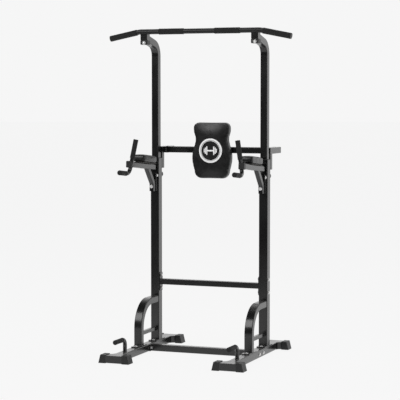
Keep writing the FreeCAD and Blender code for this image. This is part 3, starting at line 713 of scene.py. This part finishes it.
def saddle_welds():
    """Half loops under the pull-up bar, at both sides of the right saddle."""
    bar_low, bar_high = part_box("pull_up_bar")
    saddle_low, saddle_high = right_half("bar_saddles")
    radius = (bar_high.y - bar_low.y) / 2
    centre_y = (bar_low.y + bar_high.y) / 2
    centre_z = bar_high.z - radius
    angles = [math.radians(-180 + 3 * i) for i in range(61)]
    return [[Vector((x, centre_y + radius * math.cos(a), centre_z + radius * math.sin(a))) for a in angles]
            for x in (saddle_low.x, saddle_high.x)]


def weld_beads(steel):
    """Fillet welds where the steel pieces of the frame meet, and at the bar's saddles."""
    low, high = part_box("lower_post_right")
    loops = [rect_loop(2, low.z, low.x, high.x, low.y, high.y)]
    loops += side_support_welds() + [push_up_weld()] + crossbar_welds()
    for node in ("brace_shoes", "arm_mounts"):
        low, high = right_half(node)
        loops.append(rect_loop(1, high.y - 0.5 * MM, low.x, high.x, low.z, high.z))
    bm = bmesh.new()
    for loop in loops:
        for side in (loop, mirrored(loop)):
            tube_along(bm, side, WELD_RADIUS, 8, True, WELD_RIPPLE)
    dress(from_bmesh("frame_weld_beads", bm), steel, "frame", "black_steel")

    bm = bmesh.new()
    for arc in saddle_welds():
        for side in (arc, mirrored(arc)):
            tube_along(bm, resample(side, WELD_STEP, False), SADDLE_WELD_RADIUS, 8, False, WELD_RIPPLE)
    dress(from_bmesh("bar_weld_beads", bm), steel, "upper_frame", "black_steel")


# ---------------------------------------------------------------- stage, lights and camera

PALE = 0.922
FLOOR_GREY = 0.9
FLOOR_GLOW = 0.943
GLOW_SHARE = 0.95
NEAR_FLOOR = 2.4
FAR_FLOOR = 90
BRIGHT_SIDE = (0.30, 0.94, -0.15)

# Name, place, aim, size and power of each light.
LIGHTS = (
    ("key", (-2.8, -4.8, 4.4), (0, 0, 0.8), (4.4, 3.4), 190),
    ("fill", (4.4, -3.2, 2.4), (0, 0, 0.9), (2.4, 3.0), 60),
    ("top", (0.4, 1.4, 5.4), (0, 0, 0), (3.2, 2.6), 55),
)
LENS = 136.7
SENSOR = 36
CAMERA_PLACE = (2.988, -7.728, 1.405)
CAMERA_AZIMUTH = 21.03
CAMERA_DOWN = 3.776


def disc(name, inner, outer, material):
    """A flat ring, or a disc if inner is 0, at floor level."""
    bm = bmesh.new()
    turns = 96
    level = cad_box[0][2]
    rim = [Vector((math.cos(a), math.sin(a), 0)) for a in round_angles(turns)]
    far = [bm.verts.new(p * outer + Vector((0, 0, level))) for p in rim]
    if inner:
        near = [bm.verts.new(p * inner + Vector((0, 0, level))) for p in rim]
        for i in range(turns):
            j = (i + 1) % turns
            bm.faces.new((near[i], far[i], far[j], near[j]))
    else:
        bm.faces.new(far)
    obj = from_bmesh(name, bm, False)
    obj.data.materials.append(material)
    return obj


def stage_floor():
    """A pale floor that nearly glows, so that it meets the backdrop without a line. Only the part
    near the object shows in its gloss."""
    material = bpy.data.materials.new("pale_floor")
    material.use_nodes = True
    tree = material.node_tree
    tree.nodes.clear()
    diffuse = tree.nodes.new("ShaderNodeBsdfDiffuse")
    diffuse.inputs["Color"].default_value = (*grey(FLOOR_GREY), 1)
    glow = tree.nodes.new("ShaderNodeEmission")
    glow.inputs["Color"].default_value = (*grey(FLOOR_GLOW), 1)
    mix = tree.nodes.new("ShaderNodeMixShader")
    mix.inputs[0].default_value = GLOW_SHARE
    out = tree.nodes.new("ShaderNodeOutputMaterial")
    tree.links.new(diffuse.outputs[0], mix.inputs[1])
    tree.links.new(glow.outputs[0], mix.inputs[2])
    tree.links.new(mix.outputs[0], out.inputs[0])
    disc("studio_floor_near", 0, NEAR_FLOOR, material)
    disc("studio_floor_far", NEAR_FLOOR, FAR_FLOOR, material).visible_glossy = False


def studio_world():
    """A pale backdrop. What the gloss sees is bright behind the object and to its right, and dim in
    front and to its left, as between the flags of a product studio."""
    world = bpy.data.worlds.new("studio")
    bpy.context.scene.world = world
    world.use_nodes = True
    tree = world.node_tree
    sky = tree.nodes["Background"]
    where = tree.nodes.new("ShaderNodeTexCoord")
    dot = tree.nodes.new("ShaderNodeVectorMath")
    dot.operation = "DOT_PRODUCT"
    dot.inputs[1].default_value = BRIGHT_SIDE
    tree.links.new(where.outputs["Generated"], dot.inputs[0])
    fade = tree.nodes.new("ShaderNodeMapRange")
    fade.interpolation_type = "SMOOTHSTEP"
    fade.inputs["From Min"].default_value = -0.1
    fade.inputs["From Max"].default_value = 0.85
    fade.inputs["To Min"].default_value = 0.1
    fade.inputs["To Max"].default_value = 1.0
    tree.links.new(dot.outputs["Value"], fade.inputs["Value"])
    path = tree.nodes.new("ShaderNodeLightPath")
    seen = tree.nodes.new("ShaderNodeMix")
    seen.data_type = "FLOAT"
    tree.links.new(path.outputs["Is Camera Ray"], seen.inputs[0])
    tree.links.new(fade.outputs["Result"], seen.inputs[2])
    seen.inputs[3].default_value = PALE
    tree.links.new(seen.outputs[0], sky.inputs["Strength"])
    sky.inputs["Color"].default_value = (1, 1, 1, 1)


def area_light(name, place, aim, size, power):
    data = bpy.data.lights.new(name, "AREA")
    data.shape = "RECTANGLE"
    data.size, data.size_y = size
    data.energy = power
    obj = bpy.data.objects.new(name, data)
    obj.location = place
    obj.rotation_euler = (Vector(aim) - Vector(place)).to_track_quat("-Z", "Y").to_euler()
    bpy.context.scene.collection.objects.link(obj)


def camera():
    """A long lens from the front right, a little above the height of the backrest."""
    data = bpy.data.cameras.new("camera")
    data.lens = LENS
    data.sensor_width = SENSOR
    data.clip_end = 200
    obj = bpy.data.objects.new("camera", data)
    azimuth = math.radians(CAMERA_AZIMUTH)
    down = math.radians(CAMERA_DOWN)
    obj.location = CAMERA_PLACE
    obj.rotation_euler = (math.pi / 2 - down, 0, azimuth)
    bpy.context.scene.collection.objects.link(obj)
    bpy.context.scene.camera = obj


# ---------------------------------------------------------------- build

steel = powder_coat("black_powder_coat", low=0.003, high=0.005, rough=0.22, coat=0.28)
bar_steel = powder_coat("satin_powder_coat", low=0.004, high=0.007, rough=0.46, coat=0.0)
plastic = moulded_plastic("black_moulded_plastic", low=0.009, high=0.018, rough=0.46)
knob = moulded_plastic("black_knob_plastic", low=0.012, high=0.022, rough=0.36)
foam = foam_rubber()
cover = leatherette()
cord = thread()
finishes = {
    "black_steel": steel, "black_plastic": plastic, "knob": knob, "foam": foam,
    "leatherette": cover, "board": black_plywood(), "zinc": zinc_plate(),
}
for node, obj in nodes.items():
    obj.data.materials.clear()
    obj.data.materials.append(bar_steel if node == "pull_up_bar" else finishes[slots[node]])

back_cushion(cord)
arm_pads(cover, cord)
for node, body in (("inner_bar_grips", "upper_frame"), ("outer_bar_grips", "upper_frame"),
                   ("upper_handle_grips", "frame"), ("lower_handle_grips", "frame"),
                   ("push_up_grips", "frame")):
    foam_grips(node, body, foam)
weld_beads(steel)
stage_floor()
studio_world()
for light in LIGHTS:
    area_light(*light)
camera()
bpy.context.scene.view_settings.view_transform = "Standard"
